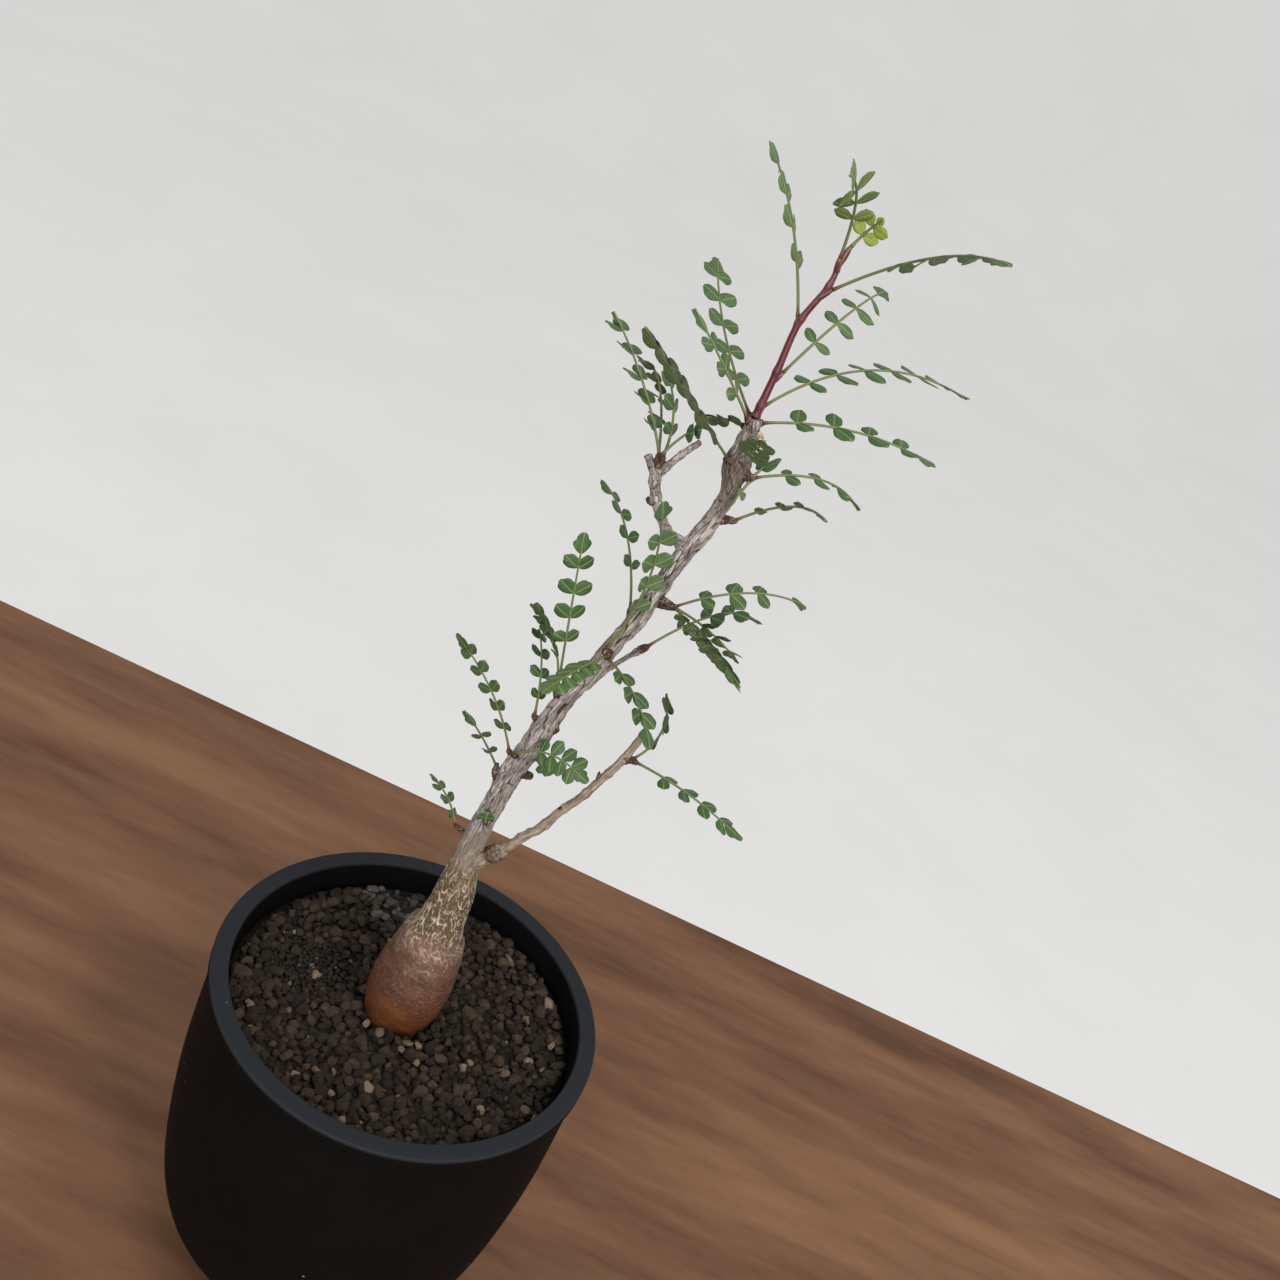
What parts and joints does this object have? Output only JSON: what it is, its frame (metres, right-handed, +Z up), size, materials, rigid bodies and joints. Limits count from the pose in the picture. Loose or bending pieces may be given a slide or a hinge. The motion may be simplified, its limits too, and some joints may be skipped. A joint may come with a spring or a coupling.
{
  "type": "potted elephant tree",
  "caption": "Young elephant tree with a swollen caudex, a leaning cracked trunk, a red shoot and feather leaves, in gritty soil in a round black pot.",
  "frame": {"origin": "centre of the flat underside of the pot", "axes": "+Z up along the pot's axis, +X to the viewer's right, towards which the trunk leans, -Y towards the viewer"},
  "size_m": [0.1601, 0.15, 0.475],
  "materials": {
    "pot": "matt near-black, rim slightly worn",
    "soil": "loose brown grit with paler grains",
    "bark": "grey-brown cracked bark, reddish on the caudex",
    "shoot": "smooth red skin of this year's growth",
    "leaf": "dull green, paler midrib",
    "young": "fresh olive green, slightly glossy"
  },
  "bodies": {
    "root": {"pot": "pot", "soil": "soil", "wood": "bark", "shoot": "shoot", "leaf_arm_1": "leaf", "leaf_arm_2": "leaf", "leaf_branch_1": "leaf", "leaf_branch_2": "leaf", "leaf_branch_3": "leaf", "leaf_branch_4": "leaf", "leaf_collar_1": "leaf", "leaf_collar_2": "leaf", "leaf_collar_3": "leaf", "leaf_collar_4": "leaf", "leaf_collar_5": "leaf", "leaf_crown_1": "leaf", "leaf_crown_2": "leaf", "leaf_crown_3": "leaf", "leaf_crown_4": "leaf", "leaf_low_1": "leaf", "leaf_low_2": "leaf", "leaf_low_3": "leaf", "leaf_low_4": "leaf", "leaf_low_5": "leaf", "leaf_low_6": "leaf", "leaf_shoot_1": "leaf", "leaf_shoot_2": "leaf", "leaf_shoot_3": "leaf", "leaf_shoot_4": "leaf", "leaf_shoot_5": "leaf", "leaf_tip_young": "young", "leaf_trunk_1": "leaf", "leaf_trunk_10": "leaf", "leaf_trunk_11": "leaf", "leaf_trunk_2": "leaf", "leaf_trunk_3": "leaf", "leaf_trunk_4": "leaf", "leaf_trunk_5": "leaf", "leaf_trunk_6": "leaf", "leaf_trunk_7": "leaf", "leaf_trunk_8": "leaf", "leaf_trunk_9": "leaf", "leaf_twig": "leaf"}
  },
  "joints": []
}
